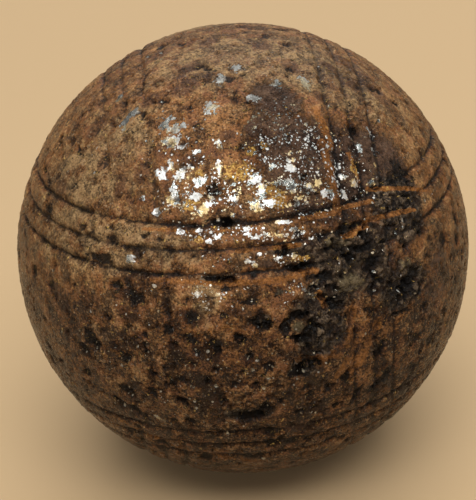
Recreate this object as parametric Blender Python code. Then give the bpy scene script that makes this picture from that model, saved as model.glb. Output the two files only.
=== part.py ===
"""Hollow steel boule: two pressed half shells, joined by one weld run and turned with crossed groove bands.

Metres, +Z up. The origin is the centre of the ball, the weld lies in the plane z = 0, one family of grooves
runs round +Z and the other round +X.
"""

import math

import bmesh
import bpy

# Driving sizes of the ball
BALL_DIAMETER = 0.074
WALL = 0.0064

# Groove bands: each family has one band on either side of the ball's centre
BAND_OFFSET = 0.0162
GROOVE_PITCH = 0.00315
GROOVES_PER_BAND = 3
GROOVE_WIDTH = 0.0013
GROOVE_DEPTH = 0.0006

# Weld preparation on each rim: a square land at the inside, then a bevel that opens outwards
ROOT_FACE = 0.0020
BEVEL_ANGLE = math.radians(27.5)
FIT_GAP = 0.0003

# How finely the round forms are faceted, and how far a cutter stands out of the ball
TURNS = 44
ARC_STEP = math.radians(7.5)
CAVITY_STEP = math.radians(15.0)
GROOVE_STEPS = 4
CUTTER_STAND_OUT = 0.0010
CUTTER_STAGGER = 0.3 * 2 * math.pi / TURNS
SHARP_ANGLE = math.radians(28.0)

# Finishes: base colour, roughness, metallic
RUSTED_STEEL = ((0.125, 0.075, 0.040, 1.0), 0.72, 0.35)
RUSTED_WELD = ((0.105, 0.066, 0.040, 1.0), 0.66, 0.45)

BALL_RADIUS = BALL_DIAMETER / 2
CAVITY_RADIUS = BALL_RADIUS - WALL
LAND_RADIUS = CAVITY_RADIUS + ROOT_FACE


def clear_scene():
    for old in list(bpy.data.objects):
        bpy.data.objects.remove(old, do_unlink=True)


def finish(name, look):
    colour, roughness, metallic = look
    material = bpy.data.materials.new(name)
    material.use_nodes = True
    shader = material.node_tree.nodes["Principled BSDF"]
    shader.inputs["Base Color"].default_value = colour
    shader.inputs["Roughness"].default_value = roughness
    shader.inputs["Metallic"].default_value = metallic
    material.diffuse_color = colour
    return material


def polar(radius, angle):
    """Distance from the turning axis and height along it, for an angle measured down from that axis."""
    return radius * math.sin(angle), radius * math.cos(angle)


def arc(radius, start, end, step=ARC_STEP):
    """Points on a circle round the ball's centre, both ends included."""
    steps = max(1, math.ceil(abs(end - start) / step))
    return [polar(radius, start + (end - start) * i / steps) for i in range(steps + 1)]


def groove_heights():
    """Height of each groove in one band, from the outermost to the one nearest the centre."""
    middle = (GROOVES_PER_BAND - 1) / 2
    return [BAND_OFFSET + (middle - i) * GROOVE_PITCH for i in range(GROOVES_PER_BAND)]


def groove_edges(height):
    """Angles at which the groove at this height starts and ends on the ball's surface."""
    centre = math.acos(height / BALL_RADIUS)
    half = GROOVE_WIDTH / 2 / BALL_RADIUS
    return centre - half, centre + half


def groove_points(height):
    """The rounded section that a form tool leaves in the surface, lip to lip."""
    start, end = groove_edges(height)
    centre, half = (start + end) / 2, (end - start) / 2
    turns = [math.pi * i / GROOVE_STEPS for i in range(GROOVE_STEPS + 1)]
    return [polar(BALL_RADIUS - GROOVE_DEPTH * math.sin(t), centre - half * math.cos(t)) for t in turns]


def bevel_meets_ball(drop):
    """Where a rim's bevel, let down towards the seam by a drop, comes out of the ball: radius and height."""
    slope = math.tan(BEVEL_ANGLE)
    lift = FIT_GAP / 2 - drop - LAND_RADIUS * slope
    a, b, c = 1 + slope * slope, slope * lift, lift * lift - BALL_RADIUS * BALL_RADIUS
    radius = (-b + math.sqrt(b * b - a * c)) / a
    return radius, lift + slope * radius


def turned(name, outlines, closed, first=0.0):
    """A mesh made by turning outlines of (radius, height) points a full round about Z, from a first angle."""
    mesh = bpy.data.meshes.new(name)
    form = bmesh.new()
    for outline in outlines:
        points = [form.verts.new((r * math.cos(first), r * math.sin(first), height)) for r, height in outline]
        pairs = list(zip(points, points[1:]))
        if closed:
            pairs.append((points[-1], points[0]))
        edges = [form.edges.new(pair) for pair in pairs]
        bmesh.ops.spin(
            form,
            geom=points + edges,
            cent=(0, 0, 0),
            axis=(0, 0, 1),
            angle=2 * math.pi,
            steps=TURNS,
            use_merge=True,
        )
    bmesh.ops.remove_doubles(form, verts=form.verts, dist=1e-6)
    bmesh.ops.recalc_face_normals(form, faces=form.faces)
    form.to_mesh(mesh)
    form.free()
    mesh.shade_smooth()
    mesh.set_sharp_from_angle(angle=SHARP_ANGLE)
    return mesh


def place(name, mesh, material, parent):
    piece = bpy.data.objects.new(name, mesh)
    bpy.context.collection.objects.link(piece)
    piece.parent = parent
    if material is not None and not mesh.materials:
        mesh.materials.append(material)
    return piece


def half_shell_outline():
    """One pressed half, crown up: crown facet, grooved outside, bevel, land, then the cavity wall back up."""
    crown, cavity_crown = ARC_STEP / 2, CAVITY_STEP / 2
    rim_radius, rim_height = bevel_meets_ball(0.0)
    outline = [(0.0, polar(BALL_RADIUS, crown)[1])]
    reached = crown
    for height in groove_heights():
        start, end = groove_edges(height)
        outline += arc(BALL_RADIUS, reached, start)[:-1]
        outline += groove_points(height)[:-1]
        reached = end
    outline += arc(BALL_RADIUS, reached, math.atan2(rim_radius, rim_height))
    land_height = FIT_GAP / 2
    outline.append((LAND_RADIUS, land_height))
    outline += arc(CAVITY_RADIUS, math.acos(land_height / CAVITY_RADIUS), cavity_crown, CAVITY_STEP)
    outline.append((0.0, polar(CAVITY_RADIUS, cavity_crown)[1]))
    return outline


def weld_outline():
    """The weld run, dressed flush with the ball, with a fit gap to both bevels and its point at the lands."""
    drop = FIT_GAP / math.cos(BEVEL_ANGLE)
    edge_radius, edge_height = bevel_meets_ball(drop)
    point_radius = LAND_RADIUS + (drop - FIT_GAP / 2) / math.tan(BEVEL_ANGLE)
    reach = math.atan2(edge_height, edge_radius)
    upper = arc(BALL_RADIUS, math.pi / 2 - reach, math.pi / 2)
    lower = arc(BALL_RADIUS, math.pi / 2, math.pi / 2 + reach)
    return upper + lower[1:] + [(point_radius, 0.0)]


def cutter_outlines():
    """Ring sections that cut one family of grooves, lips drawn straight out past the ball's surface."""
    outlines = []
    for height in groove_heights():
        start, end = groove_edges(height)
        outside = BALL_RADIUS + CUTTER_STAND_OUT
        outline = [polar(outside, start)] + groove_points(height) + [polar(outside, end)]
        outlines.append(outline)
        outlines.append([(radius, -along) for radius, along in reversed(outline)])
    return outlines


clear_scene()

boule = bpy.data.objects.new("boule", None)
bpy.context.collection.objects.link(boule)

# The second family of grooves is cut after welding, so its rings pass through both shells and the weld
cutter_mesh = turned("cross_groove_cutter", cutter_outlines(), True, CUTTER_STAGGER)
cross_grooves = place("cross_groove_cutter", cutter_mesh, None, boule)
cross_grooves.rotation_euler = (0.0, math.pi / 2, 0.0)
cross_grooves.display_type = "WIRE"
cross_grooves.hide_render = True

# Both halves come from the same press tool, and the lower one is turned over
shell_steel = finish("rusted_steel", RUSTED_STEEL)
shell_mesh = turned("half_shell", [half_shell_outline()], False)
upper_half_shell = place("upper_half_shell", shell_mesh, shell_steel, boule)
lower_half_shell = place("lower_half_shell", shell_mesh, shell_steel, boule)
lower_half_shell.rotation_euler = (math.pi, 0.0, 0.0)

weld_steel = finish("rusted_weld", RUSTED_WELD)
seam_weld = place("seam_weld", turned("seam_weld", [weld_outline()], True), weld_steel, boule)

for piece in (upper_half_shell, lower_half_shell, seam_weld):
    cut = piece.modifiers.new("cross_grooves", "BOOLEAN")
    cut.operation = "DIFFERENCE"
    cut.solver = "EXACT"
    cut.object = cross_grooves
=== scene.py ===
import math

import bpy
import numpy as np
from mathutils import Matrix, Vector


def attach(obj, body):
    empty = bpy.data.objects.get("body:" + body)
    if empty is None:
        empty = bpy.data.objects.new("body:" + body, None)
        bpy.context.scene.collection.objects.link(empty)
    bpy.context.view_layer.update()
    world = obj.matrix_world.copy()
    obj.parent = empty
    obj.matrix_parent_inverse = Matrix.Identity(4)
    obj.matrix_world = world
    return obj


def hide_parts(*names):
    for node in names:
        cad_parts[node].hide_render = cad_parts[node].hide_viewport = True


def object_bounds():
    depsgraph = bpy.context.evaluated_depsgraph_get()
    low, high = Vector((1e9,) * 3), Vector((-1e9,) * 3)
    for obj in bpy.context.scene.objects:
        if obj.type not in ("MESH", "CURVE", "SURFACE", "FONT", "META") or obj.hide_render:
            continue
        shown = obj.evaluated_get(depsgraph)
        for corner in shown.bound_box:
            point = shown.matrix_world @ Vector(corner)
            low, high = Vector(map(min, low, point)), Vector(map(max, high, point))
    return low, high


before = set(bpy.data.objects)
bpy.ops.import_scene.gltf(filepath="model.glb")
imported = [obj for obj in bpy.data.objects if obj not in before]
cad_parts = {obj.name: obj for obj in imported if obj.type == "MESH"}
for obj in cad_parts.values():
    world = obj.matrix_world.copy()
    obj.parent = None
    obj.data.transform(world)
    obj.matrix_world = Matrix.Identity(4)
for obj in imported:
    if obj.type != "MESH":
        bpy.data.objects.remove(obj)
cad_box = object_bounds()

# Camera: it stands a little above the ball and close to it, leans slightly to one side, and looks at the
# ball's centre. Places on the ball are named further down by the photograph's pixels, and facing() turns
# those into directions from the centre.
PHOTO_HEIGHT = 500.0
BALL_IN_PHOTO = (243.0, 248.0)
BALL_RADIUS_IN_PHOTO = 225.0
FRAME_CENTRE = (238.0, 250.0)
SENSOR = 36.0
CRUST_ROOM = 0.00035
CAMERA_AZIMUTH = math.radians(-2.9)
CAMERA_ELEVATION = math.radians(26.2)
CAMERA_ROLL = math.radians(-5.1)
CAMERA_DISTANCE = 5.5

cad_low = np.array(cad_box[0])
cad_high = np.array(cad_box[1])
ball_radius = (cad_high[0] - cad_low[0]) / 2
skin_radius = ball_radius - CRUST_ROOM

level_right = Vector((math.cos(CAMERA_AZIMUTH), math.sin(CAMERA_AZIMUTH), 0.0))
towards_camera = Vector((
    math.sin(CAMERA_AZIMUTH) * math.cos(CAMERA_ELEVATION),
    -math.cos(CAMERA_AZIMUTH) * math.cos(CAMERA_ELEVATION),
    math.sin(CAMERA_ELEVATION),
))
level_up = towards_camera.cross(level_right)
camera_right = level_right * math.cos(CAMERA_ROLL) + level_up * math.sin(CAMERA_ROLL)
camera_up = level_up * math.cos(CAMERA_ROLL) - level_right * math.sin(CAMERA_ROLL)


def facing_centre(right, up, back, distance):
    """Placement of something that looks at the ball's centre from a distance."""
    place = Matrix((right, up, back)).transposed().to_4x4()
    return Matrix.Translation(back * distance) @ place


# Pixels from the centre for a slope of one, so that the ball's outline has its radius in the photograph
focal_pixels = BALL_RADIUS_IN_PHOTO * math.sqrt(CAMERA_DISTANCE**2 - 1)

camera_data = bpy.data.cameras.new("camera")
camera_data.sensor_width = SENSOR
camera_data.lens = focal_pixels / PHOTO_HEIGHT * SENSOR
camera_data.shift_x = (FRAME_CENTRE[0] - BALL_IN_PHOTO[0]) / PHOTO_HEIGHT
camera_data.shift_y = (BALL_IN_PHOTO[1] - FRAME_CENTRE[1]) / PHOTO_HEIGHT
camera_data.clip_start = 0.01
camera = bpy.data.objects.new("camera", camera_data)
bpy.context.collection.objects.link(camera)
camera.matrix_world = facing_centre(camera_right, camera_up, towards_camera, CAMERA_DISTANCE * skin_radius)
bpy.context.scene.camera = camera


def facing(pixel_x, pixel_y):
    """Direction from the ball's centre to what the photograph shows at a pixel."""
    across = (pixel_x - BALL_IN_PHOTO[0]) / focal_pixels
    down = (pixel_y - BALL_IN_PHOTO[1]) / focal_pixels
    ray = (camera_right * across - camera_up * down - towards_camera).normalized()
    eye = towards_camera * CAMERA_DISTANCE
    along = -eye.dot(ray)
    miss = along * along - CAMERA_DISTANCE**2 + 1.0
    return (eye + ray * (along - math.sqrt(max(miss, 0.0)))).normalized()


# Upper half shell: one of two halves pressed hot from a steel blank about 6 mm thick, with a bevelled rim.
# Once welded, the ball was turned and grooved in a lathe, and years in damp ground have since rusted, pitted
# and crusted its skin. The mesh is a smooth blank, and one node tree works grooves and rust into it.
SHELL_STEPS = 172
CAVITY_STEPS = SHELL_STEPS // 4
WALL = 0.0064
WELD_HALF_WIDTH = 0.00222
LAND_WIDTH = 0.0020
LAND_RADIUS = ball_radius - WALL + LAND_WIDTH
LAND_HEIGHT = 0.00015
CORNER = math.radians(40.0)

# Where the skin differs, as spots in the photograph: x, y, half width, half height, and a strength where
# it isn't full. The second list is for the far side, given as if the ball were photographed from there.
ZONES = {
    "crust_zone": (
        (
            (350, 262, 58, 42), (325, 334, 27, 25), (404, 286, 22, 27), (398, 205, 28, 38),
            (300, 250, 36, 10), (322, 300, 30, 26), (225, 221, 20, 5), (217, 280, 20, 5),
            (305, 366, 18, 10), (250, 414, 30, 7), (370, 232, 40, 12), (262, 322, 10, 10),
            (398, 345, 36, 44, 0.28), (362, 408, 48, 28, 0.34), (432, 285, 18, 50, 0.36),
            (300, 396, 50, 20, 0.26), (270, 345, 40, 24, 0.24),
        ),
        (
            (170, 210, 56, 44), (210, 262, 36, 24), (330, 330, 40, 30), (300, 130, 30, 24),
            (110, 330, 28, 40),
        ),
    ),
    "scale_zone": (
        (
            (292, 150, 50, 50), (352, 168, 34, 50), (320, 212, 50, 14), (385, 170, 30, 50),
            (275, 100, 30, 20), (213, 191, 8, 8), (262, 263, 60, 6, 0.6), (436, 280, 16, 50, 0.6),
            (420, 215, 20, 24, 0.3),
        ),
        ((180, 160, 60, 46), (300, 380, 70, 36)),
    ),
    "ochre_zone": (
        (
            (246, 165, 30, 22), (165, 115, 42, 36), (372, 350, 30, 44), (240, 340, 60, 30),
            (240, 285, 70, 8), (285, 205, 24, 18), (400, 232, 50, 12), (190, 200, 30, 20),
            (225, 122, 30, 18), (328, 145, 3, 32), (350, 205, 60, 7), (300, 430, 60, 12),
            (388, 318, 34, 20), (190, 262, 30, 10),
        ),
        ((250, 170, 60, 40), (330, 250, 50, 50), (140, 300, 60, 40), (260, 400, 70, 30)),
    ),
    "khaki_zone": (
        (
            (78, 190, 50, 70), (105, 245, 80, 30), (255, 58, 110, 30), (330, 70, 60, 30),
            (120, 140, 40, 40), (170, 258, 40, 10), (205, 300, 16, 26), (345, 265, 16, 16),
            (298, 327, 10, 9),
        ),
        ((90, 220, 60, 80), (260, 70, 90, 36), (380, 200, 40, 60), (200, 340, 60, 40)),
    ),
    "pitted_zone": (
        (
            (150, 340, 110, 60), (220, 380, 110, 60), (300, 400, 120, 50), (110, 300, 70, 60),
            (400, 340, 60, 80), (260, 320, 60, 40), (250, 440, 120, 30),
        ),
        ((240, 360, 160, 80), (380, 260, 60, 90)),
    ),
    "worn_zone": (
        ((130, 130, 60, 110), (110, 300, 60, 120), (140, 400, 50, 60)),
        ((130, 170, 70, 100), (360, 360, 60, 60)),
    ),
    "stain_zone": (
        (
            (291, 66, 10, 7), (209, 41, 9, 4), (189, 68, 12, 5), (184, 88, 15, 8), (207, 77, 6, 5),
            (331, 68, 8, 5), (351, 66, 9, 6), (321, 97, 8, 6), (349, 82, 10, 6), (156, 56, 9, 5),
            (120, 186, 6, 16), (104, 162, 7, 9), (142, 172, 8, 13), (96, 128, 8, 10), (150, 100, 9, 7),
            (262, 46, 12, 4), (236, 100, 8, 5), (380, 96, 8, 9), (60, 190, 6, 12), (160, 150, 8, 8),
            (90, 300, 12, 10), (62, 300, 8, 14), (130, 315, 12, 8), (192, 160, 14, 8), (228, 135, 10, 7),
            (170, 186, 8, 10), (240, 190, 10, 6), (252, 130, 8, 8), (236, 312, 12, 6), (196, 318, 10, 7),
        ),
        (
            (200, 60, 14, 6), (290, 80, 12, 8), (150, 110, 12, 10), (330, 140, 12, 14), (120, 200, 8, 16),
            (240, 120, 14, 9), (380, 170, 8, 14), (230, 320, 16, 9), (160, 360, 14, 9), (300, 300, 12, 8),
        ),
    ),
    "lump_zone": (
        (
            (298, 327, 6, 6), (350, 283, 15, 12, 0.8), (338, 243, 20, 7, 0.6), (279, 292, 8, 5, 0.6),
            (405, 262, 10, 8, 0.6),
        ),
        ((170, 230, 14, 10), (214, 262, 8, 8)),
    ),
    "gold_and_highlight_zone": (
        (
            (238, 172, 14, 10), (279, 200, 10, 10), (190, 205, 7, 6), (200, 239, 6, 4), (250, 151, 6, 5),
            (199, 175, 5, 5), (264, 147, 3, 5), (355, 168, 4, 9), (300, 258, 12, 3), (270, 190, 8, 6),
        ),
        ((200, 170, 12, 10), (250, 180, 8, 8)),
    ),
    "glitter_zone": (
        (
            (295, 160, 44, 48), (262, 188, 46, 22), (288, 182, 40, 26), (205, 190, 40, 30, 0.6),
            (345, 175, 26, 36, 0.5), (250, 234, 78, 8), (262, 260, 56, 7, 0.42), (205, 295, 14, 18, 0.6),
            (290, 125, 34, 26, 0.5), (302, 290, 18, 10, 0.5), (230, 300, 24, 10, 0.4),
            (250, 380, 70, 30, 0.11), (180, 140, 34, 34, 0.25), (150, 360, 80, 70, 0.06),
            (350, 260, 70, 50, 0.03), (320, 330, 50, 40, 0.04),
        ),
        ((190, 170, 50, 40, 0.6), (260, 200, 50, 40, 0.6), (320, 330, 40, 30, 0.3)),
    ),
}

# Holes eaten into the skin, and drops of scale that stand out of it: x, y, half width, half height and
# depth in millimetres, negative where it stands out
HOLES = (
    (222, 222, 15, 4, 0.5), (216, 280, 14, 4, 0.5), (309, 363, 13, 8, 0.9), (296, 372, 8, 6, 0.7),
    (250, 415, 24, 4, 0.4), (286, 327, 6, 10, 0.9), (302, 338, 11, 5, 0.8), (407, 285, 6, 11, 0.9),
    (413, 274, 6, 8, 0.6), (351, 320, 3, 11, 0.7), (332, 303, 10, 7, 0.7), (326, 276, 8, 6, 0.6),
    (372, 262, 8, 6, 0.5), (300, 268, 16, 4, 0.7), (345, 235, 10, 4, 0.5), (213, 190, 10, 10, 0.22),
    (381, 350, 4, 7, 0.6), (347, 376, 5, 8, 0.5), (402, 312, 10, 3, 0.5), (360, 248, 14, 4, 0.7),
    (135, 298, 9, 9, 0.4), (167, 330, 6, 6, 0.4), (92, 340, 8, 10, 0.4), (183, 402, 6, 4, 0.5),
    (269, 367, 7, 6, 0.5), (99, 257, 14, 5, 0.4), (240, 340, 8, 4, 0.4), (400, 170, 10, 12, 0.3),
    (116, 285, 7, 5, 0.35), (144, 335, 4, 4, 0.35), (85, 350, 5, 6, 0.35), (197, 353, 5, 4, 0.4),
    (217, 351, 5, 5, 0.45), (224, 316, 6, 4, 0.35), (226, 289, 6, 4, 0.4), (250, 302, 10, 5, 0.4),
    (256, 322, 5, 6, 0.4), (249, 357, 5, 5, 0.4), (125, 357, 6, 5, 0.35), (152, 374, 5, 4, 0.35),
    (182, 380, 6, 4, 0.4), (207, 382, 4, 4, 0.4), (126, 390, 8, 5, 0.35), (152, 392, 5, 5, 0.4),
    (120, 402, 5, 4, 0.35), (235, 385, 5, 4, 0.35), (190, 421, 7, 3, 0.35), (215, 370, 4, 3, 0.35),
    (165, 367, 4, 3, 0.3), (135, 410, 6, 4, 0.35), (238, 337, 7, 3, 0.35), (279, 292, 9, 6, 0.25),
    (267, 324, 7, 6, 0.45), (385, 377, 6, 9, 0.4), (357, 395, 3, 8, 0.35), (309, 395, 4, 4, 0.35),
    (281, 401, 4, 3, 0.35), (337, 405, 5, 3, 0.35), (380, 324, 4, 4, 0.35), (366, 342, 4, 4, 0.35),
    (255, 386, 4, 4, 0.35), (402, 386, 3, 4, 0.3), (265, 405, 4, 3, 0.35), (82, 227, 5, 4, 0.3),
    (144, 236, 6, 3, 0.3), (159, 240, 5, 3, 0.3), (107, 262, 7, 4, 0.35), (105, 160, 5, 8, 0.2),
    (74, 186, 5, 6, 0.2), (196, 125, 5, 4, 0.2), (128, 326, 4, 4, 0.3), (108, 318, 4, 4, 0.3),
    (205, 336, 5, 3, 0.35), (175, 345, 4, 4, 0.3), (222, 402, 5, 3, 0.35), (300, 412, 5, 3, 0.35),
    (330, 388, 4, 4, 0.35), (415, 340, 4, 6, 0.3), (424, 305, 3, 6, 0.3), (290, 70, 5, 3, 0.25),
    (235, 92, 4, 3, 0.2), (356, 108, 5, 4, 0.2), (200, 66, 5, 3, 0.2), (150, 150, 4, 5, 0.2),
    (298, 315, 10, 5, 0.8), (311, 326, 5, 9, 0.8), (302, 293, 6, 6, -0.30), (298, 327, 7, 7, -0.30),
    (352, 278, 14, 12, -0.2),
)

# Bright flakes that are left of the turned skin: x, y, half width, half height, lean in degrees
FLAKES = (
    (161, 175, 4, 8, 25), (171, 165, 4, 4, 0), (181, 173, 4, 10, -42), (175, 199, 9, 8, 0),
    (173, 187, 3, 6, 0), (219, 169, 3, 7, 10), (219, 144, 4, 4, 0), (196, 152, 4, 3, 30),
    (201, 182, 5, 8, -40), (196, 196, 5, 4, 0), (210, 204, 6, 5, 0), (203, 211, 8, 4, 0),
    (234, 200, 6, 5, 0), (255, 179, 6, 5, 0), (262, 191, 5, 7, 0), (258, 205, 9, 5, 0),
    (271, 204, 6, 4, 0), (273, 166, 4, 4, 0), (289, 160, 3, 3, 0), (291, 168, 4, 4, 0),
    (288, 183, 9, 5, -20), (279, 182, 5, 3, 0), (294, 190, 4, 3, 0), (308, 187, 4, 3, 0),
    (304, 199, 5, 3, 0), (298, 203, 4, 4, 0), (327, 193, 5, 5, 0), (318, 182, 3, 3, 0),
    (218, 237, 5, 2, 0), (210, 241, 4, 3, 0), (180, 232, 4, 4, 0), (203, 230, 6, 2, 0),
    (282, 222, 7, 2, 0), (296, 230, 3, 3, 0), (247, 234, 4, 2, 0), (270, 234, 6, 2, 0),
    (255, 237, 5, 2, 0), (281, 235, 7, 2, 0), (247, 229, 4, 3, 0), (247, 262, 3, 3, 0),
    (256, 265, 3, 3, 0), (279, 258, 5, 2, 0), (293, 255, 4, 3, 0), (259, 254, 3, 2, 0),
    (154, 286, 3, 2, 0), (303, 289, 4, 2, 0), (220, 294, 4, 2, 0), (198, 294, 3, 3, 0),
    (211, 107, 6, 6, 0), (252, 97, 7, 4, 0), (166, 122, 5, 6, 0), (174, 130, 6, 5, 0),
    (172, 141, 9, 6, 10), (183, 126, 4, 3, 0), (182, 147, 3, 3, 0), (134, 112, 3, 4, 0),
    (120, 97, 2, 3, 0), (124, 123, 4, 6, 0), (220, 80, 5, 5, 0), (237, 68, 6, 4, 0), (157, 212, 4, 4, 0),
    (142, 197, 3, 3, 0), (275, 84, 5, 4, 0), (305, 83, 5, 5, 0), (339, 167, 3, 3, 0), (343, 175, 4, 4, 0),
    (371, 132, 3, 3, 0), (360, 148, 3, 4, 0), (374, 149, 2, 3, 0), (355, 183, 3, 4, 0),
    (371, 184, 3, 3, 0), (343, 194, 4, 4, 0), (375, 165, 2, 3, 0), (159, 418, 3, 2, 0),
    (131, 258, 4, 4, 0),
)
FAR_FLAKES = (
    (180, 170, 8, 6, 20), (196, 182, 5, 5, 0), (172, 190, 4, 8, -30), (215, 165, 9, 5, 0),
    (240, 178, 6, 7, 0), (262, 190, 8, 4, 0), (285, 172, 5, 5, 0), (250, 205, 7, 4, 0),
    (205, 205, 5, 4, 0), (330, 300, 6, 4, 0),
)

# Ribs and groove lips rubbed back to orange rust, and partly a painted highlight where they catch the light:
# from x, y to x, y, and the half width
STREAKS_AND_HIGHLIGHTS = (
    (321, 112, 327, 142, 4.5), (327, 142, 335, 207, 4.5), (298, 221, 340, 210, 3.0),
    (340, 210, 372, 199, 2.5), (372, 199, 430, 178, 2.0), (344, 238, 368, 224, 3.0),
    (368, 224, 415, 205, 2.5), (238, 251, 300, 245, 2.5), (228, 283, 272, 281, 3.5),
    (272, 281, 316, 271, 3.5), (150, 281, 228, 283, 2.5), (350, 308, 353, 345, 4.0),
    (353, 345, 344, 372, 4.0), (372, 326, 362, 366, 5.0), (142, 228, 182, 231, 2.0),
    (180, 232, 262, 229, 1.5), (100, 432, 200, 441, 1.5), (318, 292, 326, 306, 3.5),
    (352, 154, 357, 182, 2.5), (300, 357, 340, 360, 3.0),
)
FAR_STREAKS_AND_HIGHLIGHTS = (
    (150, 214, 250, 226, 2.5), (250, 226, 330, 220, 2.5), (180, 283, 300, 286, 2.5),
    (330, 120, 340, 200, 3.0),
)

# How far apart in pixels the lie of the skin is measured, and where a spot is over the horizon
SPOT_STEP = 3.0
HORIZON = 0.3
OVER_HORIZON = 1000.0


def near_spot(facings, spot, lean=0.0):
    """Sideways and upward distance of each direction from a spot, in its half sizes, where it is near."""
    centre = facing(spot[0], spot[1])
    side = np.array(facing(spot[0] + SPOT_STEP, spot[1]) - centre) / SPOT_STEP
    rise = np.array(facing(spot[0], spot[1] - SPOT_STEP) - centre) / SPOT_STEP
    gap = facings - np.array(centre)
    across = gap @ side / (side @ side)
    above = gap @ rise / (rise @ rise)
    turn = math.radians(lean)
    across, above = (
        across * math.cos(turn) + above * math.sin(turn),
        above * math.cos(turn) - across * math.sin(turn),
    )
    far_off = np.where(facings @ np.array(centre) > HORIZON, 0.0, OVER_HORIZON)
    return across / spot[2] + far_off, above / spot[3] + far_off


def smooth(values, none, full):
    """Smooth step from 0, where a value is none, to 1, where it is full."""
    share = np.clip((values - none) / (full - none), 0.0, 1.0)
    return share * share * (3.0 - 2.0 * share)


def patches(facings, spots):
    """How far each direction lies within a set of soft-edged spots, from 0 to 1."""
    inside = np.zeros(len(facings))
    for spot in spots:
        strength = spot[4] if len(spot) > 4 else 1.0
        inside = np.maximum(inside, smooth(np.hypot(*near_spot(facings, spot)), 1.5, 0.35) * strength)
    return inside


def holes(facings):
    """Depth of the eaten holes at each direction, in millimetres, less the height of the drops."""
    deep = np.zeros(len(facings))
    for number, spot in enumerate(HOLES):
        across, above = near_spot(facings, spot)
        turn = np.arctan2(above, across)
        ragged = 1.0 + 0.16 * np.sin(3 * turn + number) + 0.12 * np.sin(5 * turn + 2.1 * number)
        deep += smooth(np.hypot(across, above) / ragged, 1.15, 0.45) * spot[4]
    return deep


def flakes(facings, spots):
    """1 at the middle of each flake, a half at its edge, and 0 well away from all of them."""
    inside = np.zeros(len(facings))
    for spot in spots:
        inside = np.maximum(inside, 1.0 - 0.5 * np.hypot(*near_spot(facings, spot, spot[4])))
    return inside


def streaks(facings, lines):
    """1 along the middle of each streak, a half at its edge, and 0 well away from all of them."""
    inside = np.zeros(len(facings))
    for x0, y0, x1, y1, half in lines:
        run = math.hypot(x1 - x0, y1 - y0)
        lean = math.degrees(math.atan2(y0 - y1, x1 - x0))
        along, beside = near_spot(facings, ((x0 + x1) / 2, (y0 + y1) / 2, 1.0, half), lean)
        past = np.maximum(np.abs(along) - run / 2, 0.0) / half
        inside = np.maximum(inside, 1.0 - 0.5 * np.hypot(past, beside))
    return inside


def blank(name, points, faces, outside):
    """A smooth mesh object that knows at each point what the rust does there."""
    mesh = bpy.data.meshes.new(name)
    mesh.from_pydata(points.tolist(), [], [tuple(int(i) for i in face) for face in faces])
    mesh.shade_smooth()
    mesh.set_sharp_from_angle(angle=CORNER)
    near = points / np.linalg.norm(points, axis=1, keepdims=True)
    far = near * (-1.0, -1.0, 1.0)
    known = {"outside": outside, "hole": holes(near)}
    known["flake_zone"] = np.maximum(flakes(near, FLAKES), flakes(far, FAR_FLAKES))
    known["streak_and_highlight_zone"] = np.maximum(streaks(near, STREAKS_AND_HIGHLIGHTS), streaks(far, FAR_STREAKS_AND_HIGHLIGHTS))
    for zone, (near_spots, far_spots) in ZONES.items():
        known[zone] = np.maximum(patches(near, near_spots), patches(far, far_spots))
    for attribute, values in known.items():
        mesh.attributes.new(attribute, "FLOAT", "POINT").data.foreach_set("value", values.astype(np.float32))
    piece = bpy.data.objects.new(name, mesh)
    bpy.context.collection.objects.link(piece)
    return piece


def sphere_point(longitude, latitude):
    """Points on the unit ball."""
    return np.stack([
        np.cos(latitude) * np.cos(longitude),
        np.cos(latitude) * np.sin(longitude),
        np.sin(latitude) + 0.0 * longitude,
    ], axis=-1)


QUARTER_TURN = math.radians(90.0)


def dome(steps, rim_latitude):
    """Unit dome of even squares, like half a cube blown round: points, quads and the ring at its rim."""
    quarter = QUARTER_TURN * (np.arange(steps) / steps - 0.5)
    longitude = np.concatenate([quarter + QUARTER_TURN * side for side in range(4)])
    top_latitude = np.arctan(np.cos(np.tile(quarter, 4)))
    rows = steps // 2
    share = np.arange(rows + 1)[:, None] / rows
    latitude = rim_latitude + (top_latitude[None, :] - rim_latitude) * share
    walls = sphere_point(longitude[None, :], latitude)
    index = np.arange(walls.shape[0] * walls.shape[1]).reshape(walls.shape[:2])
    beside = np.roll(index, -1, axis=1)
    quads = [np.stack([index[:-1], beside[:-1], beside[1:], index[1:]], axis=-1).reshape(-1, 4)]

    slope = np.tan(QUARTER_TURN * (np.arange(steps + 1) / steps - 0.5))
    across, deep = np.meshgrid(slope, slope, indexing="ij")
    lid = np.stack([across, deep, np.ones_like(across)], axis=-1)
    lid /= np.linalg.norm(lid, axis=-1, keepdims=True)
    lid_index = (np.arange((steps + 1) ** 2) + index.size).reshape(steps + 1, steps + 1)
    corners = lid_index[:-1, :-1], lid_index[1:, :-1], lid_index[1:, 1:], lid_index[:-1, 1:]
    quads.append(np.stack(corners, axis=-1).reshape(-1, 4))

    points = np.concatenate([walls.reshape(-1, 3), lid.reshape(-1, 3)])
    _, first, merged = np.unique(np.round(points, 6), axis=0, return_index=True, return_inverse=True)
    merged = merged.reshape(-1)
    return points[first], merged[np.concatenate(quads)], merged[index[0]]


def strip(lower, upper):
    """Quads between two rings that have the same number of points."""
    return np.stack([lower, np.roll(lower, -1), np.roll(upper, -1), upper], axis=-1)


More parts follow.
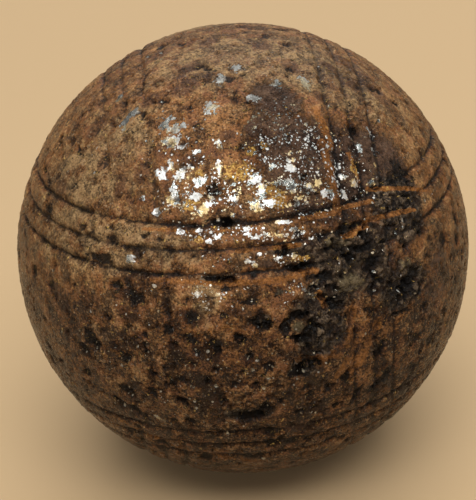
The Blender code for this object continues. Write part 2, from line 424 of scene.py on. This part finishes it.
def half_shell_blank(name, turned_over):
    """A smooth closed half shell: outer dome, bevel, land and a coarser cavity wall."""
    skin, skin_quads, rim = dome(SHELL_STEPS, math.asin(WELD_HALF_WIDTH / skin_radius))
    cavity_radius = ball_radius - WALL
    hollow, hollow_quads, mouth = dome(CAVITY_STEPS, math.asin(LAND_HEIGHT / cavity_radius))
    land = skin[rim] * (1.0, 1.0, 0.0)
    land = land / np.linalg.norm(land, axis=1, keepdims=True) * LAND_RADIUS + (0.0, 0.0, LAND_HEIGHT)
    points = np.concatenate([skin * skin_radius, land, hollow * cavity_radius])
    land_ring = len(skin) + np.arange(len(rim))
    mouth_ring = len(skin) + len(rim) + mouth
    faces = skin_quads.tolist() + strip(land_ring, rim).tolist()
    faces += (hollow_quads[:, ::-1] + len(skin) + len(rim)).tolist()
    per_step = len(rim) // len(mouth)
    for i, inner in enumerate(mouth_ring):
        beside = [land_ring[(i * per_step + k) % len(rim)] for k in range(per_step + 1)]
        faces += [(inner, beside[k + 1], beside[k]) for k in range(per_step)]
        faces.append((inner, mouth_ring[(i + 1) % len(mouth)], beside[-1]))
    if turned_over:
        points = points * (1.0, -1.0, -1.0)
    outside = np.zeros(len(points))
    outside[: len(skin)] = 1.0
    return blank(name, points, faces, outside)


def add(tree, kind, fed=None, **options):
    """Adds a node, sets its options, and feeds its sockets from other sockets or with plain values."""
    node = tree.nodes.new(kind)
    for option, value in options.items():
        setattr(node, option, value)
    for socket, value in (fed or {}).items():
        if isinstance(value, bpy.types.NodeSocket):
            tree.links.new(value, node.inputs[socket])
        else:
            node.inputs[socket].default_value = value
    return node


def step(operation, *values):
    """One arithmetic step in the tree that its first fed socket belongs to."""
    tree = next(value.id_data for value in values if isinstance(value, bpy.types.NodeSocket))
    return add(tree, "ShaderNodeMath", dict(enumerate(values)), operation=operation).outputs[0]


def ramp(value, none, full, low=0.0, high=1.0):
    """Smooth step from low, where the value is none, to high, where it is full."""
    fed = {"Value": value, "From Min": none, "From Max": full, "To Min": low, "To Max": high}
    return add(value.id_data, "ShaderNodeMapRange", fed, interpolation_type="SMOOTHSTEP").outputs[0]


def spread(value, amount, base):
    """Noise about its middle, times an amount, on top of a base."""
    return step("MULTIPLY_ADD", step("SUBTRACT", value, 0.5), amount, base)


def mottle(place, size, detail=3.0, roughness=0.55, distortion=0.0):
    """Cloudy noise from 0 to 1 whose blotches are about size millimetres across."""
    fed = {"Vector": place, "Scale": 1.0 / size, "Detail": detail}
    fed.update({"Roughness": roughness, "Distortion": distortion})
    return add(place.id_data, "ShaderNodeTexNoise", fed).outputs[0]


def torn(place, size, amount):
    """The same places pushed about at random, which makes round cells ragged."""
    tree = place.id_data
    noise = add(tree, "ShaderNodeTexNoise", {"Vector": place, "Scale": 1.0 / size, "Detail": 3.0}).outputs[1]
    push = add(tree, "ShaderNodeVectorMath", {0: noise, 1: (0.5, 0.5, 0.5)}, operation="SUBTRACT").outputs[0]
    fed = {0: push, 1: (amount, amount, amount), 2: place}
    return add(tree, "ShaderNodeVectorMath", fed, operation="MULTIPLY_ADD").outputs[0]


def cells(place, size):
    """Scattered cells about size millimetres apart: distance from the middle, and two draws for each."""
    tree = place.id_data
    node = add(tree, "ShaderNodeTexVoronoi", {"Vector": place, "Scale": 1.0 / size})
    draws = add(tree, "ShaderNodeSeparateXYZ", {0: node.outputs["Color"]}).outputs
    return node.outputs["Distance"], draws[0], draws[1]


def groove_gaps(place, offset, pitch, radius):
    """Millimetres to the nearest of the three grooves in a band, for either family, wandering a little."""
    tree = place.id_data
    axes = add(tree, "ShaderNodeSeparateXYZ", {0: place}).outputs
    wander = spread(mottle(place, 1.2, 4.0, 0.6), 1.0, spread(mottle(place, 6.0, 4.0, 0.6), 0.8, 0.0))
    gaps = []
    for along in (axes[2], axes[0]):
        height = step("ABSOLUTE", along)
        count = step("DIVIDE", step("SUBTRACT", height, offset), pitch)
        nearest = add(tree, "ShaderNodeClamp", {0: step("ROUND", count), 1: -1.0, 2: 1.0}).outputs[0]
        sine = step("DIVIDE", height, radius)
        slant = step("SQRT", step("SUBTRACT", 1.0, step("MULTIPLY", sine, sine)))
        apart = step("MULTIPLY", step("SUBTRACT", count, nearest), pitch)
        apart = step("DIVIDE", apart, step("MAXIMUM", slant, 0.2))
        gaps.append(step("ABSOLUTE", step("ADD", apart, wander)))
    return gaps


# The rust's sizes in millimetres, by the names of the node tree's inputs
MILLIMETRES = 1000.0
CRUST_MARGIN = 0.00010
RUST_SIZES = {
    "Ball Radius": skin_radius * MILLIMETRES,
    "Band Offset": 16.05,
    "Groove Pitch": 3.12,
    "Groove Width": 1.30,
    "Groove Depth": 0.50,
    "Cross Groove Depth": 0.36,
    "Pit Depth": 0.32,
    "Crust Lumps": 0.70,
    "Waviness": 0.40,
    "Sandiness": 0.65,
    "Most Proud": (CRUST_ROOM - CRUST_MARGIN) * MILLIMETRES,
}


def rust_tree():
    """Grooves, pits and crust worked into a smooth blank, with what the finish needs kept on its points."""
    tree = bpy.data.node_groups.new("rusted_skin", "GeometryNodeTree")
    sockets = {}
    tree.interface.new_socket("Geometry", in_out="INPUT", socket_type="NodeSocketGeometry")
    for label in RUST_SIZES:
        socket = tree.interface.new_socket(label, in_out="INPUT", socket_type="NodeSocketFloat")
        sockets[label] = socket.identifier
    finish = tree.interface.new_socket("Finish", in_out="INPUT", socket_type="NodeSocketMaterial")
    sockets["Finish"] = finish.identifier
    tree.interface.new_socket("Geometry", in_out="OUTPUT", socket_type="NodeSocketGeometry")
    size = add(tree, "NodeGroupInput").outputs

    def known(attribute):
        node = add(tree, "GeometryNodeInputNamedAttribute", {"Name": attribute}, data_type="FLOAT")
        return node.outputs["Attribute"]

    position = add(tree, "GeometryNodeInputPosition").outputs[0]
    fed = {0: position, "Scale": MILLIMETRES}
    place = add(tree, "ShaderNodeVectorMath", fed, operation="SCALE").outputs[0]

    # Thick crust, where its zone and a cloudy edge allow it
    crust = ramp(spread(mottle(place, 4.0, 5.0, 0.6), 1.6, known("crust_zone")), 0.40, 0.68)

    # Both families of grooves, worn unevenly: a narrow cut and the soft hollow round it
    wear = mottle(place, 6.0, 5.0, 0.6)
    half = step("MULTIPLY", size["Groove Width"], ramp(wear, 0.3, 0.7, 0.20, 0.40))
    gaps = groove_gaps(place, size["Band Offset"], size["Groove Pitch"], size["Ball Radius"])
    grooves = [ramp(step("DIVIDE", apart, half), 1.3, 0.1) for apart in gaps]
    hollows = [ramp(apart, 1.15, 0.0) for apart in gaps]
    worn = step("MULTIPLY", ramp(wear, 0.36, 0.62, 0.62, 1.05), step("MULTIPLY_ADD", crust, -0.45, 1.0))
    cross_worn = step("MULTIPLY", worn, step("MULTIPLY_ADD", known("worn_zone"), -0.72, 1.0))
    cut = step("MULTIPLY_ADD", grooves[0], 0.6, step("MULTIPLY", hollows[0], 0.5))
    sunk = step("MULTIPLY", step("MULTIPLY", cut, size["Groove Depth"]), worn)
    cut = step("MULTIPLY_ADD", grooves[1], 0.6, step("MULTIPLY", hollows[1], 0.5))
    cross = step("MULTIPLY", step("MULTIPLY", cut, size["Cross Groove Depth"]), cross_worn)
    sunk = step("MAXIMUM", sunk, cross)
    cross_dark = step("MULTIPLY", step("MULTIPLY", grooves[1], cross_worn), 0.75)
    groove = step("MAXIMUM", step("MULTIPLY", grooves[0], worn), cross_dark)

    # Round pits of two sizes, with ragged edges, each cell drawing its own size or none
    pits = []
    pitted = known("pitted_zone")
    ragged = torn(place, 0.9, 2.6)
    for apart, least, most in ((3.2, -0.30, 0.34), (1.6, -0.36, 0.40)):
        distance, drawn, _ = cells(ragged, apart)
        reach = step("ADD", ramp(drawn, 0.0, 1.0, least, most), step("MULTIPLY", pitted, 0.12))
        reach = step("MAXIMUM", reach, 0.01)
        pits.append(ramp(step("DIVIDE", distance, reach), 1.15, 0.55))
    pit = step("MAXIMUM", pits[0], step("MULTIPLY", pits[1], 0.8))
    sunk = step("MULTIPLY_ADD", pit, size["Pit Depth"], sunk)
    sunk = step("ADD", sunk, known("hole"))

    # The crust's lumps and the gaps between them, over a slight waviness and a sandy roughness
    lump = step("SUBTRACT", 0.60, cells(torn(place, 0.7, 1.6), 0.95)[0])
    gap = ramp(mottle(place, 2.2, 4.0, 0.6, 0.6), 0.54, 0.66)
    heap = step("MULTIPLY", step("SUBTRACT", lump, step("MULTIPLY", gap, 1.7)), size["Crust Lumps"])
    waves = step("MULTIPLY", step("SUBTRACT", mottle(place, 13.0, 2.0), 0.5), size["Waviness"])
    sand = step("MULTIPLY", step("SUBTRACT", mottle(place, 1.1, 5.0, 0.7), 0.5), size["Sandiness"])
    proud = step("MULTIPLY_ADD", heap, crust, waves)
    proud = step("MULTIPLY_ADD", sand, step("ADD", crust, 1.0), proud)
    proud = step("SUBTRACT", proud, sunk)
    proud = step("SMOOTH_MIN", proud, size["Most Proud"], 0.06)
    proud = step("MINIMUM", proud, size["Most Proud"])
    proud = step("MULTIPLY", proud, known("outside"))

    outward = add(tree, "ShaderNodeVectorMath", {0: position}, operation="NORMALIZE").outputs[0]
    fed = {0: outward, "Scale": step("MULTIPLY", proud, 1.0 / MILLIMETRES)}
    offset = add(tree, "ShaderNodeVectorMath", fed, operation="SCALE").outputs[0]
    flow = size["Geometry"]
    kept = {"crust": crust, "groove": groove, "pit": pit, "gap": gap, "proud": proud, "place": place}
    for attribute, value in kept.items():
        kind = "FLOAT_VECTOR" if attribute == "place" else "FLOAT"
        fed = {"Geometry": flow, "Name": attribute, "Value": value}
        store = add(tree, "GeometryNodeStoreNamedAttribute", fed, data_type=kind, domain="POINT")
        flow = store.outputs[0]
    flow = add(tree, "GeometryNodeSetPosition", {"Geometry": flow, "Offset": offset}).outputs[0]
    flow = add(tree, "GeometryNodeRealizeInstances", {"Geometry": flow}).outputs[0]
    flow = add(tree, "GeometryNodeSetMaterial", {"Geometry": flow, "Material": size["Finish"]}).outputs[0]
    add(tree, "NodeGroupOutput", {"Geometry": flow})
    return tree, sockets


rust, rust_sockets = rust_tree()


def rusted(piece, finish):
    """Works the rust into a blank and leaves it a plain mesh."""
    work = piece.modifiers.new("rust", "NODES")
    work.node_group = rust
    for label, value in RUST_SIZES.items():
        work[rust_sockets[label]] = value
    work[rust_sockets["Finish"]] = finish
    bpy.context.view_layer.update()
    shaped = piece.evaluated_get(bpy.context.evaluated_depsgraph_get())
    mesh = bpy.data.meshes.new_from_object(shaped)
    piece.modifiers.clear()
    piece.data = mesh
    return piece


def colour(red, green, blue):
    """A colour as picked from a screen, turned into the shader's linear values."""
    shares = [value / 255.0 for value in (red, green, blue)]
    return tuple(v / 12.92 if v <= 0.04045 else ((v + 0.055) / 1.055) ** 2.4 for v in shares) + (1.0,)


DARK_BROWN = colour(54, 30, 11)
PIT_BROWN = colour(38, 18, 5)
RUST_BROWN = colour(122, 80, 42)
RUST_TAN = colour(178, 132, 82)
UMBER = colour(72, 44, 24)
DARK_GREY = colour(58, 46, 32)
DUST_GREY = colour(152, 122, 84)
LUMP_GREY = colour(122, 106, 76)
DARK_RED = colour(74, 42, 28)
RUST_RED = colour(158, 96, 62)
STAIN_RED = colour(112, 70, 42)
OCHRE = colour(162, 104, 50)
GOLD_AND_HIGHLIGHT = colour(228, 184, 100)
KHAKI = colour(166, 136, 94)
KHAKI_GREY = colour(98, 78, 50)
CRUST_BLACK = colour(15, 12, 10)
CRUST_GREY_AND_HIGHLIGHT = colour(128, 108, 86)
SCALE_BLACK = colour(34, 26, 22)
SCALE_BROWN = colour(94, 69, 54)
HOLE_BLACK = colour(14, 9, 5)
PALE_GRAIN_AND_GLINT = colour(206, 178, 138)
BARE_STEEL = colour(226, 226, 222)
BLUED_STEEL = colour(168, 174, 170)
YELLOWED_STEEL = colour(232, 206, 150)
SHADED_STEEL = colour(122, 120, 112)
RUST_IOR = 1.33
RELIEF_DEPTH = 0.001


def rusted_finish(name):
    """Brown rust in blotches, black pits and crust, glossy scale and bright flakes of the old skin."""
    material = bpy.data.materials.new(name)
    material.use_nodes = True
    tree = material.node_tree
    shader = tree.nodes["Principled BSDF"]

    def known(attribute):
        return add(tree, "ShaderNodeAttribute", attribute_name=attribute).outputs["Fac"]

    def mix(share, first, second):
        return add(tree, "ShaderNodeMix", {0: share, 6: first, 7: second}, data_type="RGBA").outputs[2]

    def laid(share, most, under, over):
        """One colour laid over another where the share says, by no more than most."""
        return mix(step("MULTIPLY", share, most), under, over)

    place = add(tree, "ShaderNodeAttribute", attribute_name="place").outputs["Vector"]
    height = add(tree, "ShaderNodeSeparateXYZ", {0: place}).outputs[2]
    crust, groove, pit, gap, proud = map(known, ("crust", "groove", "pit", "gap", "proud"))
    broad = mottle(place, 8.0, 5.0, 0.6)
    blotch = mottle(place, 2.8, 6.0, 0.65, 0.4)
    cast = mottle(place, 2.3, 4.0, 0.6)
    patch = mottle(place, 1.7, 5.0, 0.65)
    grain = mottle(place, 0.8, 5.0, 0.7)
    speckle = mottle(place, 0.50, 4.0, 0.7)
    fine = mottle(place, 0.30, 3.0, 0.7)

    # Brown rust in blotches and grains, lighter on what stands proud, and darker towards the bottom, a
    # painted shade
    lower_side = ramp(spread(broad, 14.0, height), 13.0, 2.0)
    uneven = spread(broad, 0.9, spread(blotch, 1.4, spread(grain, 0.9, spread(fine, 0.8, 0.0))))
    tone = step("MULTIPLY_ADD", uneven, step("MULTIPLY_ADD", lower_side, 0.30, 0.85), 0.57)
    tone = step("MULTIPLY_ADD", proud, 0.7, step("MULTIPLY_ADD", lower_side, -0.10, tone))
    skin = mix(ramp(tone, 0.20, 0.50), DARK_BROWN, RUST_BROWN)
    skin = mix(ramp(tone, 0.50, 0.84), skin, RUST_TAN)
    shade = ramp(tone, 0.15, 0.75)

    # Patches that are greyer or redder than the rest
    skin = laid(ramp(cast, 0.50, 0.66), 0.50, skin, mix(shade, DARK_GREY, DUST_GREY))
    skin = laid(ramp(cast, 0.48, 0.36), 0.35, skin, mix(shade, DARK_RED, RUST_RED))

    # Ochre and khaki, in small patches that crowd together in their zones, and dark red stains
    ochre = ramp(spread(patch, 2.4, step("MULTIPLY_ADD", known("ochre_zone"), 0.48, 0.14)), 0.25, 0.95)
    skin = laid(ochre, 0.66, skin, mix(shade, UMBER, OCHRE))
    dusty = spread(blotch, 1.8, spread(grain, 0.8, step("MULTIPLY_ADD", known("khaki_zone"), 0.50, 0.18)))
    khaki = ramp(dusty, 0.30, 0.90)
    skin = laid(khaki, 0.75, skin, mix(shade, KHAKI_GREY, KHAKI))
    stain = ramp(spread(blotch, 1.4, spread(grain, 0.9, known("stain_zone"))), 0.35, 0.85)
    skin = laid(stain, 0.75, skin, mix(ramp(tone, 0.25, 0.95), DARK_BROWN, STAIN_RED))

    # Hairline cracks round scales of rust, and pinholes and pocks, which crowd where the skin is pitted
    scaling = spread(grain, 0.5, mottle(place, 1.5, 3.0, 0.6, 0.5))
    crack = ramp(step("ABSOLUTE", step("SUBTRACT", scaling, 0.5)), 0.030, 0.004)
    crack = step("MULTIPLY", crack, ramp(cast, 0.42, 0.56))
    skin = laid(crack, 0.70, skin, PIT_BROWN)
    pitted = known("pitted_zone")
    pinhole = spread(speckle, 1.0, spread(cast, 0.6, step("MULTIPLY_ADD", pitted, 0.06, 0.48)))
    pinhole = ramp(pinhole, 0.55, 0.62)
    distance, drawn, second = cells(torn(place, 0.5, 0.8), 0.85)
    crowd = ramp(spread(cast, 1.0, step("MULTIPLY_ADD", pitted, 0.08, blotch)), 0.42, 0.72, 0.0, 0.70)
    pock = ramp(step("DIVIDE", distance, ramp(second, 0.0, 1.0, 0.18, 0.48)), 1.0, 0.75)
    pock = step("MULTIPLY", pock, step("LESS_THAN", drawn, crowd))
    pinhole = step("MAXIMUM", pinhole, pock)
    skin = laid(pinhole, step("MULTIPLY_ADD", lower_side, 0.35, 0.50), skin, PIT_BROWN)

    # Single grains, some pale, partly painted glints, and some dark
    distance, drawn, _ = cells(torn(place, 0.3, 0.3), 0.30)
    dot = ramp(distance, 0.60, 0.35)
    pale = step("MULTIPLY", dot, step("LESS_THAN", drawn, ramp(patch, 0.44, 0.66, 0.01, 0.16)))
    skin = laid(pale, 0.36, skin, PALE_GRAIN_AND_GLINT)
    dark = step("MULTIPLY", dot, step("GREATER_THAN", drawn, ramp(cast, 0.38, 0.62, 0.90, 0.74)))
    skin = laid(dark, 0.55, skin, PIT_BROWN)

    # Thin glossy scale, thick crust in crumbs, and black in the pits
    scale = ramp(spread(blotch, 1.6, spread(grain, 1.8, known("scale_zone"))), 0.40, 0.80)
    skin = laid(scale, 0.88, skin, mix(ramp(tone, 0.25, 0.85), SCALE_BLACK, SCALE_BROWN))
    # The crumbs are lighter in their middles and where they stand proud, and black at their edges: partly
    # the crust's own colour, partly a painted highlight and shade
    knob, drawn, _ = cells(torn(place, 0.6, 1.0), 1.1)
    crumb_and_highlight = step("MULTIPLY", ramp(knob, 0.70, 0.45), ramp(drawn, 0.1, 1.0, 0.25, 0.75))
    crumb_and_highlight = spread(speckle, 2.2, spread(grain, 2.4, step("MULTIPLY_ADD", proud, 0.5, crumb_and_highlight)))
    skin = laid(crust, 0.92, skin, mix(ramp(crumb_and_highlight, 0.10, 0.95), CRUST_BLACK, CRUST_GREY_AND_HIGHLIGHT))
    skin = laid(pit, 0.60, skin, DARK_BROWN)
    skin = laid(ramp(spread(grain, 2.0, pit), 0.55, 0.95), 0.92, skin, HOLE_BLACK)

    # Grooves, partly dirt and partly painted shade, darkest where no dust lies in them, each with a thin
    # line at its bottom
    clear = step("MULTIPLY_ADD", khaki, -0.45, 0.85)
    trough = ramp(spread(grain, 1.4, groove), 0.45, 1.0)
    skin = laid(step("MULTIPLY", trough, clear), 0.70, skin, HOLE_BLACK)
    measures = [RUST_SIZES[label] for label in ("Band Offset", "Groove Pitch", "Ball Radius")]
    gaps = groove_gaps(place, *measures)
    line = step("MAXIMUM", ramp(gaps[0], 0.30, 0.08), step("MULTIPLY", ramp(gaps[1], 0.30, 0.08), 0.80))
    faded = step("MULTIPLY", ramp(groove, 0.12, 0.45), ramp(blotch, 0.36, 0.58, 0.30, 1.0))
    line = step("MULTIPLY", line, faded)
    skin = laid(line, clear, skin, HOLE_BLACK)

    # Black in whatever lies deep, and the lumps that stand in it
    eaten = ramp(spread(grain, 1.4, spread(speckle, 0.8, known("hole"))), 0.12, 0.26)
    deep = step("MAXIMUM", step("MAXIMUM", ramp(proud, -0.34, -0.75), eaten), step("MULTIPLY", crust, gap))
    skin = laid(deep, 0.90, skin, HOLE_BLACK)
    lump = ramp(spread(grain, 1.6, known("lump_zone")), 0.35, 0.70)
    skin = laid(lump, 0.80, skin, mix(ramp(tone, 0.20, 0.75), DARK_GREY, LUMP_GREY))

    # Streaks rubbed back to orange along ribs and lips, partly a painted highlight where they catch the
    # light, and golden patches
    streak_and_highlight = ramp(spread(patch, 0.7, spread(grain, 1.0, known("streak_and_highlight_zone"))), 0.44, 0.66)
    skin = laid(streak_and_highlight, 0.85, skin, mix(ramp(tone, 0.0, 0.75), UMBER, OCHRE))
    # The golden patches are partly yellow rust and partly a painted highlight
    gold_and_highlight = ramp(spread(grain, 3.0, spread(fine, 1.4, known("gold_and_highlight_zone"))), 0.42, 0.72)
    golden_and_highlight = mix(ramp(spread(fine, 1.0, grain), 0.35, 0.65), OCHRE, GOLD_AND_HIGHLIGHT)
    skin = laid(gold_and_highlight, 0.85, skin, golden_and_highlight)

    # Every grain is a little lighter or darker than the next, and the lower side is darker on the whole, a
    # painted shade
    grit_shade = step("MULTIPLY", ramp(fine, 0.30, 0.70, 0.71, 1.29), step("MULTIPLY_ADD", lower_side, -0.10, 1.0))
    fed = {0: 1.0, 6: skin, 7: grit_shade}
    skin = add(tree, "ShaderNodeMix", fed, data_type="RGBA", blend_type="MULTIPLY").outputs[2]

    # Flakes of bare steel, and specks of it that glitter
    level = step("SUBTRACT", 1.0, step("MAXIMUM", pit, ramp(groove, 0.3, 0.7)))
    flake = spread(mottle(place, 0.34, 2.0, 0.6), 1.1, known("flake_zone"))
    flake = spread(mottle(place, 1.0, 2.0), 1.6, flake)
    flake = step("MULTIPLY", ramp(flake, 0.51, 0.55), level)
    clusters = ramp(mottle(place, 1.6, 4.0, 0.6), 0.40, 0.60, 0.30, 1.5)
    for apart, share in ((0.66, 0.38), (0.40, 1.0)):
        distance, drawn, second = cells(torn(place, 0.6, 0.5), apart)
        crowd = step("MULTIPLY", step("MULTIPLY_ADD", known("glitter_zone"), share, 0.003), clusters)
        reach = ramp(second, 0.0, 1.0, 0.20, 0.54)
        speck = ramp(step("DIVIDE", distance, reach), 1.0, 0.7)
        flake = step("MAXIMUM", flake, step("MULTIPLY", step("LESS_THAN", drawn, crowd), speck))
    steel = mix(ramp(blotch, 0.48, 0.60), BARE_STEEL, YELLOWED_STEEL)
    steel = mix(ramp(patch, 0.42, 0.50), BLUED_STEEL, steel)
    # The steel is painted darker on the lower side and near the top, a painted shade
    steel = laid(step("MAXIMUM", lower_side, ramp(height, 26.0, 30.0)), 0.70, steel, SHADED_STEEL)
    skin = mix(flake, skin, steel)

    # Gloss, which is wet on scale, crust, streaks, gold and the lower side
    wet = step("MAXIMUM", scale, step("MAXIMUM", step("MULTIPLY", crust, ramp(grain, 0.45, 0.6)), streak_and_highlight))
    wet = step("MAXIMUM", step("MAXIMUM", wet, gold_and_highlight), lower_side)
    rough = step("SUBTRACT", ramp(blotch, 0.35, 0.70, 0.24, 0.44), step("MULTIPLY", wet, 0.12))
    polish = ramp(patch, 0.40, 0.62, 0.22, 0.40)
    rough = add(tree, "ShaderNodeMix", {0: flake, 2: rough, 3: polish}, data_type="FLOAT").outputs[0]

    # Relief that is too fine for the mesh
    relief = step("MULTIPLY_ADD", grain, 0.27, step("MULTIPLY", fine, 0.20))
    relief = step("MULTIPLY_ADD", pinhole, -0.06, relief)
    relief = step("MULTIPLY_ADD", step("MAXIMUM", crack, line), -0.05, relief)
    relief = step("MULTIPLY_ADD", step("MULTIPLY", knob, crust), -0.36, relief)
    rugged = step("MAXIMUM", step("MAXIMUM", crust, scale), step("MULTIPLY", lower_side, 0.8))
    relief = step("MULTIPLY", relief, step("MULTIPLY_ADD", rugged, 0.9, 1.0))
    relief = step("MULTIPLY", relief, step("MULTIPLY_ADD", flake, -0.6, 1.0))
    bump = add(tree, "ShaderNodeBump", {"Strength": 1.0, "Distance": RELIEF_DEPTH, "Height": relief})

    shader.inputs["IOR"].default_value = RUST_IOR
    tree.links.new(skin, shader.inputs["Base Color"])
    tree.links.new(rough, shader.inputs["Roughness"])
    tree.links.new(step("MAXIMUM", flake, step("MULTIPLY", gold_and_highlight, 0.4)), shader.inputs["Metallic"])
    tree.links.new(bump.outputs[0], shader.inputs["Normal"])
    return material


shell_finish = rusted_finish("rusted_steel")
upper_shell = rusted(half_shell_blank("rusted_upper_half_shell", False), shell_finish)
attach(upper_shell, "root")
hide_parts("upper_half_shell")

# Lower half shell: the same steel pressing turned over, welded rim to rim to the upper half, and rusted
# like it. The ball lies on its crown.
lower_shell = rusted(half_shell_blank("rusted_lower_half_shell", True), shell_finish)
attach(lower_shell, "root")
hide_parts("lower_half_shell")

# Seam weld: one run of weld metal in the V between the two bevels, laid all round and turned flush with
# the ball. Under the rust it can't be told from the shells, so it carries the same skin.
WELD_GAP = 0.000004
WELD_ROOT_RISE = 0.0004
WELD_ROWS = 12


def weld_blank(name):
    """A smooth closed ring of rows across the weld's face, drawn in to one ring at its root."""
    longitude = 4 * QUARTER_TURN * np.arange(4 * SHELL_STEPS) / (4 * SHELL_STEPS) - QUARTER_TURN / 2
    reach = math.asin((WELD_HALF_WIDTH - WELD_GAP) / skin_radius)
    latitudes = [reach * (2.0 * row / WELD_ROWS - 1.0) for row in range(WELD_ROWS + 1)]
    rows = [sphere_point(longitude, latitude) * skin_radius for latitude in latitudes]
    root = sphere_point(longitude, 0.0) * (LAND_RADIUS + WELD_ROOT_RISE)
    points = np.concatenate(rows + [root])
    rings = np.arange(len(points)).reshape(WELD_ROWS + 2, -1)
    faces = np.concatenate([strip(rings[i], rings[(i + 1) % len(rings)]) for i in range(len(rings))])
    outside = np.ones(len(points))
    outside[rings[-1]] = 0.0
    return blank(name, points, faces.tolist(), outside)


weld = rusted(weld_blank("rusted_seam_weld"), rusted_finish("rusted_weld"))
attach(weld, "root")
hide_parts("seam_weld")

# Floor: a plain pale sheet under the ball, large enough to fill the picture from any side. To the camera
# and in reflections it glows by about what the overhead lamp doesn't give it, and it keeps the shadow.
FLOOR_HALF = 8.0
FLOOR_PALE = colour(208, 177, 134)
FLOOR_DULL = colour(104, 88, 68)
FLOOR_ROUGHNESS = 0.9
FLOOR_GLOW = 0.45
LIT_AHEAD = 0.16
LAMP_HEIGHT = 0.89
floor_mesh = bpy.data.meshes.new("floor")
floor_height = float(cad_low[2])
corners = [(x * FLOOR_HALF, y * FLOOR_HALF, floor_height) for x, y in ((-1, -1), (1, -1), (1, 1), (-1, 1))]
floor_mesh.from_pydata(corners, [], [(0, 1, 2, 3)])
floor = bpy.data.objects.new("floor", floor_mesh)
bpy.context.collection.objects.link(floor)
floor_finish = bpy.data.materials.new("floor")
floor_finish.use_nodes = True
floor_tree = floor_finish.node_tree
floor_shader = floor_tree.nodes["Principled BSDF"]
rays = add(floor_tree, "ShaderNodeLightPath").outputs
mirrored = step("MAXIMUM", rays["Is Glossy Ray"], rays["Is Transmission Ray"])
seen = step("MAXIMUM", rays["Is Camera Ray"], mirrored)
fed = {0: seen, 6: FLOOR_DULL, 7: FLOOR_PALE}
floor_colour = add(floor_tree, "ShaderNodeMix", fed, data_type="RGBA").outputs[2]
floor_tree.links.new(floor_colour, floor_shader.inputs["Base Color"])
spot = add(floor_tree, "ShaderNodeTexCoord").outputs["Object"]
lit_spot = (towards_camera.x * LIT_AHEAD, towards_camera.y * LIT_AHEAD, 0.0)
fed = {0: spot, 1: lit_spot}
away = add(floor_tree, "ShaderNodeVectorMath", fed, operation="DISTANCE").outputs["Value"]
share = step("DIVIDE", away, LAMP_HEIGHT)
lit = step("POWER", step("MULTIPLY_ADD", share, share, 1.0), -2.0)
glow = step("MULTIPLY", seen, step("MULTIPLY_ADD", lit, -FLOOR_GLOW, FLOOR_GLOW))
floor_tree.links.new(glow, floor_shader.inputs["Emission Strength"])
floor_shader.inputs["Emission Color"].default_value = FLOOR_PALE
floor_shader.inputs["Roughness"].default_value = FLOOR_ROUGHNESS
floor_mesh.materials.append(floor_finish)

# Light: a broad soft lamp almost overhead lights the ball, a weaker one its far side, and a lower one above
# the camera is what its flakes mirror. A small one in front reaches its lower half, and an even pale
# surround fills the rest.
LAMPS = {
    "overhead": {"above_camera": 54.0, "distance": 0.9, "size": (1.0, 1.0), "power": 6.6},
    "rear": {"above_camera": 110.0, "distance": 0.9, "size": (0.8, 0.8), "power": 2.0},
    "softbox": {"above_camera": 24.0, "distance": 0.5, "size": (0.42, 0.14), "power": 1.1},
    "front": {"above_camera": -20.0, "distance": 0.6, "size": (0.30, 0.08), "power": 0.52},
}
SURROUND = (1.0, 0.97, 0.93, 1.0)
SURROUND_STRENGTH = 0.13
for name, lamp in LAMPS.items():
    lamp_data = bpy.data.lights.new(name, "AREA")
    lamp_data.shape = "RECTANGLE"
    lamp_data.size, lamp_data.size_y = lamp["size"]
    lamp_data.energy = lamp["power"]
    lamp_object = bpy.data.objects.new(name, lamp_data)
    bpy.context.collection.objects.link(lamp_object)
    tilt = math.radians(lamp["above_camera"])
    towards_lamp = towards_camera * math.cos(tilt) + camera_up * math.sin(tilt)
    lamp_up = camera_up * math.cos(tilt) - towards_camera * math.sin(tilt)
    lamp_object.matrix_world = facing_centre(camera_right, lamp_up, towards_lamp, lamp["distance"])

world = bpy.data.worlds.new("surround")
world.use_nodes = True
world.node_tree.nodes["Background"].inputs["Color"].default_value = SURROUND
world.node_tree.nodes["Background"].inputs["Strength"].default_value = SURROUND_STRENGTH
bpy.context.scene.world = world
bpy.context.scene.view_settings.view_transform = "Standard"
